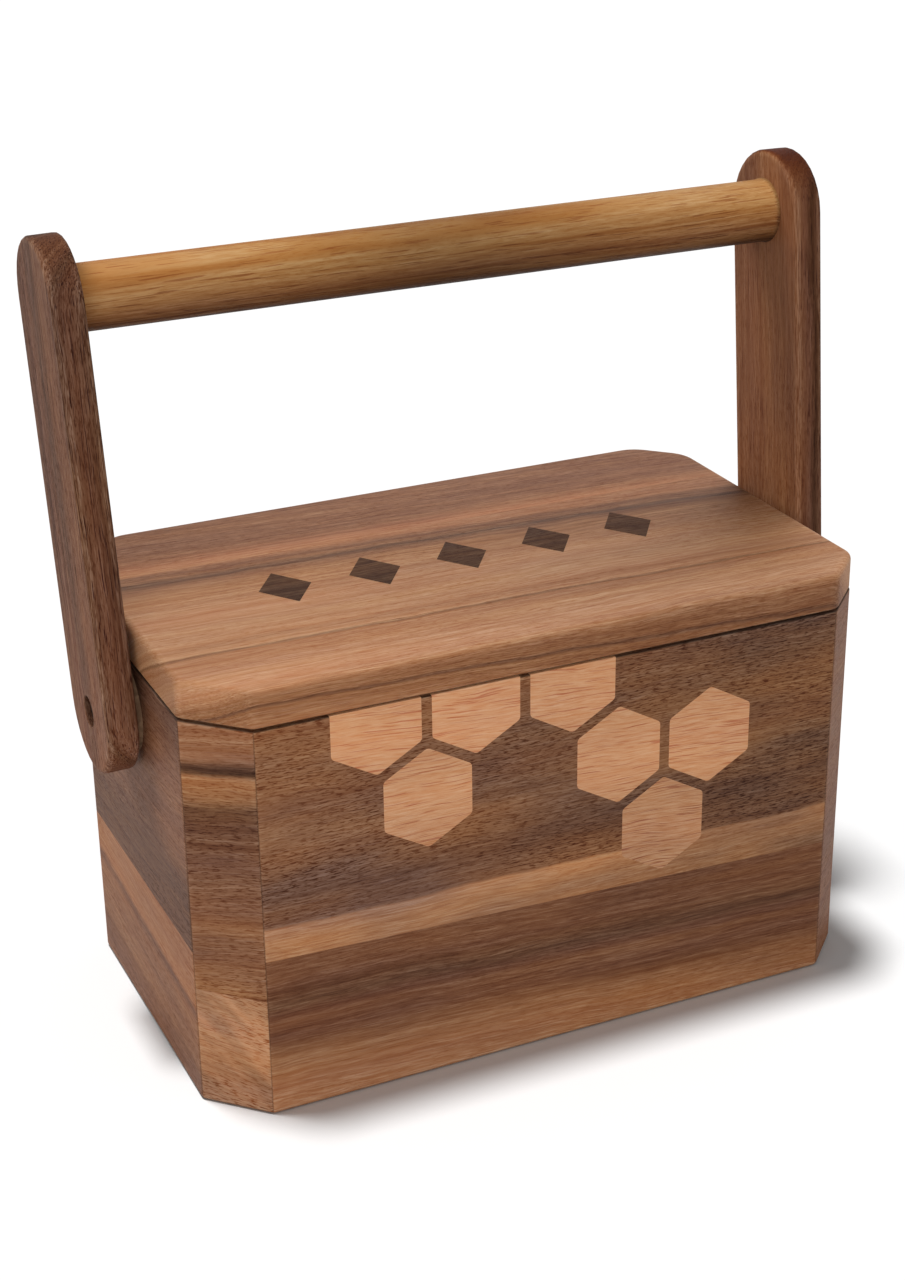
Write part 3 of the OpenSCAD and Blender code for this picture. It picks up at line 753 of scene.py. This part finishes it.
# For each stave: its side, and for its lower and its upper board the layers, the slope and the grain
STAVES = {
    # The front's fades paint shade that darkens it towards the right, over its own tone
    "front": (FRONT, (FRONT_FOOT, -2.4, dict(STREAKED, gain=1.12, fade=0.24)),
              (FRONT_HEART, -0.6, dict(FIGURED, gain=0.98, fade=0.42, sapwood=50.9))),
    "back": (BACK, (END_FOOT, 1.8, STREAKED), (FRONT_HEART, -1.0, FIGURED)),
    "left": (LEFT, (END_FOOT, -3.0, CALM), (END_HEART, 1.5, CALM)),
    "right": (RIGHT, (FRONT_FOOT, 2.0, STREAKED), (END_HEART, -1.5, CALM)),
    "front_left_corner": (FRONT_LEFT, (PALE_BLOCK, -8.0, CURLY), (CORNER_BANDS, 9.0, BANDED)),
    "front_right_corner": (FRONT_RIGHT, (PLAIN_CORNER, 3.0, CALM), (PLAIN_CORNER, -4.0, CALM)),
    "back_left_corner": (BACK_LEFT, (PALE_BLOCK, 5.0, CURLY), (PLAIN_CORNER, -3.0, BANDED)),
    "back_right_corner": (BACK_RIGHT, (PALE_BLOCK, 4.0, CURLY), (CORNER_BANDS, -5.0, BANDED)),
}


def build_staves():
    """Both boards of every stave, with the grain lengthwise and the layers stacked upwards."""
    outer = case_plan()
    for number, (name, (side, foot, heart)) in enumerate(STAVES.items()):
        start, stop = outer[side], outer[(side + 1) % len(outer)]
        along = np.append(unit(stop - start), 0)
        origin = np.append((start + stop) / 2, 0)
        board = "" if "corner" in name else "_board"
        lower, upper = name + "_lower" + board, name + "_upper" + board
        joint = (FRONT_JOINT, FRONT_RISE) if side == FRONT else (corners(lower)[1][2], 0)
        seed = 10.0 * number
        boards = ((lower, foot, lower_rows(), (0, 0), joint, seed),
                  (upper, heart, upper_rows(), joint, (RIM, 0), seed + 5))
        for node, (layers, slope, grain), rows, low, high, board_seed in boards:
            board_wood = wood(node + "_wood", along, Z, origin, layers, slope, seed=board_seed, **grain)
            stave_board(node, side, rows, low, high, board_wood)


def build_lid():
    """The two lid boards and the row of lozenges. The layers run down round the front edge with depth."""
    middle = np.array([0, 0, LID_TOP])
    front_wood = wood("lid_front_wood", X, Y, middle, LID_FRONT, slope=-2.5, seed=101.0, **LID_FRONT_GRAIN)
    back_wood = wood("lid_back_wood", X, Y, middle, LID_BACK, slope=-1.0, seed=111.0, **LID_BACK_GRAIN)
    right, left = (HALF_LENGTH, LID_JOINT), (-HALF_LENGTH, LID_JOINT)
    front_corners = [FRONT_LEFT, FRONT, FRONT_RIGHT, RIGHT]
    back_corners = [BACK_RIGHT, BACK, BACK_LEFT, LEFT]
    boards = [lid_board("lid_front_board", front_corners, [right, left], front_wood),
              lid_board("lid_back_board", back_corners, [left, right], back_wood)]
    lozenge_wood = wood("lozenge_wood", X, Y, middle, LOZENGE_LAYERS, slope=-3.0, seed=121.0, shine=0.04)
    return boards + [lid_lozenge(node, lozenge_wood) for node in nodes_named("lid_lozenge_")]


def build_honeycomb():
    """The cells of the front, each cut from another place of the same pale board."""
    for number, node in enumerate(nodes_named("hex_cell_")):
        low, high = corners(node)
        cell_wood = wood(node + "_wood", X, Z, (low + high) / 2, CELL_LAYERS, slope=-4.0,
                         seed=131.0 + 7 * number, gain=CELL_GAINS[number], **CELL_GRAIN)
        honeycomb_cell(node, cell_wood)


def build_handle():
    """The two arms, with the grain along them, and the grip."""
    for node, side, layers, grain in (("left_arm", -1, LEFT_ARM, LEFT_ARM_GRAIN),
                                      ("right_arm", 1, RIGHT_ARM, RIGHT_ARM_GRAIN)):
        face = PIVOT + side * (ARM_IN + ARM_THICK) * X
        arm_wood = wood(node + "_wood", arm_axes(side)[0], HANDLE_BACK, face, layers, slope=0.5,
                        seed=201.0 + 10 * side, **grain)
        arm(node, side, arm_wood)
    grip_wood = wood("grip_wood", X, Z, GRIP, GRIP_SHADED_LAYERS, slope=0.6, seed=231.0, **GRIP_GRAIN)
    grip_dowel(grip_wood)


def dress_solids():
    """Finishes of the solids that are shown as they are."""
    bottom_wood = wood("bottom_wood", X, Y, np.zeros(3), BOTTOM_LAYERS, slope=1.0, seed=241.0)
    batten_wood = wood("batten_wood", Y, X, np.zeros(3), BATTEN_LAYERS, slope=1.0, seed=251.0)
    steel = metal("blackened_steel", *STEEL)
    brass = metal("brass", *BRASS)
    fibre = fibre_board("pressed_fibre")
    finishes = {"bottom_board": bottom_wood, "left_batten": batten_wood, "right_batten": batten_wood,
                "batten_screws": brass, "left_insert": brass, "right_insert": brass,
                "left_pivot_screw": steel, "right_pivot_screw": steel,
                "left_washer": fibre, "right_washer": fibre}
    for node, finish in finishes.items():
        mesh = frame["nodes"][node].data
        mesh.materials.clear()
        mesh.materials.append(finish)


# The camera: its place in metres, the way it looks in degrees, and its lens in millimetres
CAMERA_PLACE = (-0.22507, -0.49141, 0.33107)
CAMERA_AZIMUTH, CAMERA_ELEVATION, CAMERA_ROLL = np.radians((-24.33, 24.06, -0.80))
CAMERA_LENS = 64.32
CAMERA_SENSOR = 36.0


def build_camera():
    """A camera whose axes are worked out from its azimuth, elevation and roll."""
    level = np.array([np.cos(CAMERA_AZIMUTH), np.sin(CAMERA_AZIMUTH), 0])
    back = np.array([np.sin(CAMERA_AZIMUTH) * np.cos(CAMERA_ELEVATION),
                     -np.cos(CAMERA_AZIMUTH) * np.cos(CAMERA_ELEVATION), np.sin(CAMERA_ELEVATION)])
    upright = np.cross(back, level)
    right = np.cos(CAMERA_ROLL) * level + np.sin(CAMERA_ROLL) * upright
    up = np.cos(CAMERA_ROLL) * upright - np.sin(CAMERA_ROLL) * level
    lens = bpy.data.cameras.new("camera")
    lens.lens = CAMERA_LENS
    lens.sensor_width = CAMERA_SENSOR
    camera = bpy.data.objects.new("camera", lens)
    turn = Matrix([right.tolist(), up.tolist(), back.tolist()]).transposed()
    camera.matrix_world = Matrix.Translation(CAMERA_PLACE) @ turn.to_4x4()
    bpy.context.scene.collection.objects.link(camera)
    bpy.context.scene.camera = camera


# Strength of the light from the white surroundings
AMBIENT = 0.28
# Grey of the floor as it is seen, and as it throws light back
FLOOR_WHITE = 0.86
FLOOR_BOUNCE = 0.35
# Half of the floor's width, in metres
FLOOR_HALF = 6.0


def seen(nodes, links):
    """1 for what the camera, a reflection or a refraction sees, and 0 for light that falls on things."""
    path = nodes.new("ShaderNodeLightPath")
    most = path.outputs["Is Camera Ray"]
    for name in ("Is Glossy Ray", "Is Transmission Ray"):
        larger = nodes.new("ShaderNodeMath")
        larger.operation = "MAXIMUM"
        links.new(most, larger.inputs[0])
        links.new(path.outputs[name], larger.inputs[1])
        most = larger.outputs[0]
    return most


def build_surroundings():
    """White surroundings that light the box softly, and a white floor that keeps its shadow."""
    world = bpy.data.worlds.new("white_room")
    bpy.context.scene.world = world
    world.use_nodes = True
    nodes, links = world.node_tree.nodes, world.node_tree.links
    strength = nodes.new("ShaderNodeMapRange")
    strength.inputs["To Min"].default_value = AMBIENT
    strength.inputs["To Max"].default_value = 1.0
    links.new(seen(nodes, links), strength.inputs[0])
    nodes["Background"].inputs["Color"].default_value = (1, 1, 1, 1)
    links.new(strength.outputs[0], nodes["Background"].inputs["Strength"])

    paper = bpy.data.materials.new("floor_paper")
    paper.use_nodes = True
    nodes, links = paper.node_tree.nodes, paper.node_tree.links
    shader = nodes["Principled BSDF"]
    shader.inputs["Roughness"].default_value = 0.9
    shader.inputs["Specular IOR Level"].default_value = 0.0
    shade = nodes.new("ShaderNodeMapRange")
    shade.inputs["To Min"].default_value = FLOOR_BOUNCE
    shade.inputs["To Max"].default_value = FLOOR_WHITE
    links.new(seen(nodes, links), shade.inputs[0])
    links.new(shade.outputs[0], shader.inputs["Base Color"])

    mesh = bpy.data.meshes.new("floor")
    spread = np.array([(-1, -1, 0), (1, -1, 0), (1, 1, 0), (-1, 1, 0)]) * FLOOR_HALF
    mesh.from_pydata(spread.tolist(), [], [(0, 1, 2, 3)])
    mesh.materials.append(paper)
    floor = bpy.data.objects.new("floor", mesh)
    bpy.context.scene.collection.objects.link(floor)
    return floor


# The lamps: where each stands as seen from the box, how strong it is, how wide in degrees, and what it
# leaves out or lights alone. The floor has a lamp of its own so that the shadow stays close to the box, and
# the lid has one so that the right arm shades it.
LAMPS = {"overhead": ((-0.60, 0.45, 1.0), 2.0, 30.0, "EXCLUDE", ("floor", "lid")),
         "front": ((-0.35, -1.0, 0.35), 1.9, 60.0, "EXCLUDE", ("floor",)),
         "lid": ((0.50, 0.45, 1.0), 1.95, 30.0, "INCLUDE", ("lid",)),
         "floor": ((-0.09, 0.10, 1.0), 3.0, 8.0, "INCLUDE", ("floor",))}


def build_lamps(groups):
    """The lamps as far suns that shine towards the box, each linked to the pieces of its groups."""
    for name, (place, strength, width, state, chosen) in LAMPS.items():
        lamp = bpy.data.lights.new(name, "SUN")
        lamp.energy = strength
        lamp.angle = np.radians(width)
        holder = bpy.data.objects.new(name, lamp)
        back = unit(np.array(place))
        side = unit(np.cross(Z, back))
        turn = Matrix([side.tolist(), np.cross(back, side).tolist(), back.tolist()]).transposed()
        holder.matrix_world = turn.to_4x4()
        bpy.context.scene.collection.objects.link(holder)
        linked = bpy.data.collections.new(name + "_lights")
        for piece in sum((groups[group] for group in chosen), []):
            linked.objects.link(piece)
        for member in linked.collection_objects:
            member.light_linking.link_state = state
        holder.light_linking.receiver_collection = linked


build_staves()
build_honeycomb()
lid_pieces = build_lid()
build_handle()
dress_solids()
build_camera()
build_lamps({"floor": [build_surroundings()], "lid": lid_pieces})
bpy.context.scene.view_settings.view_transform = "Standard"
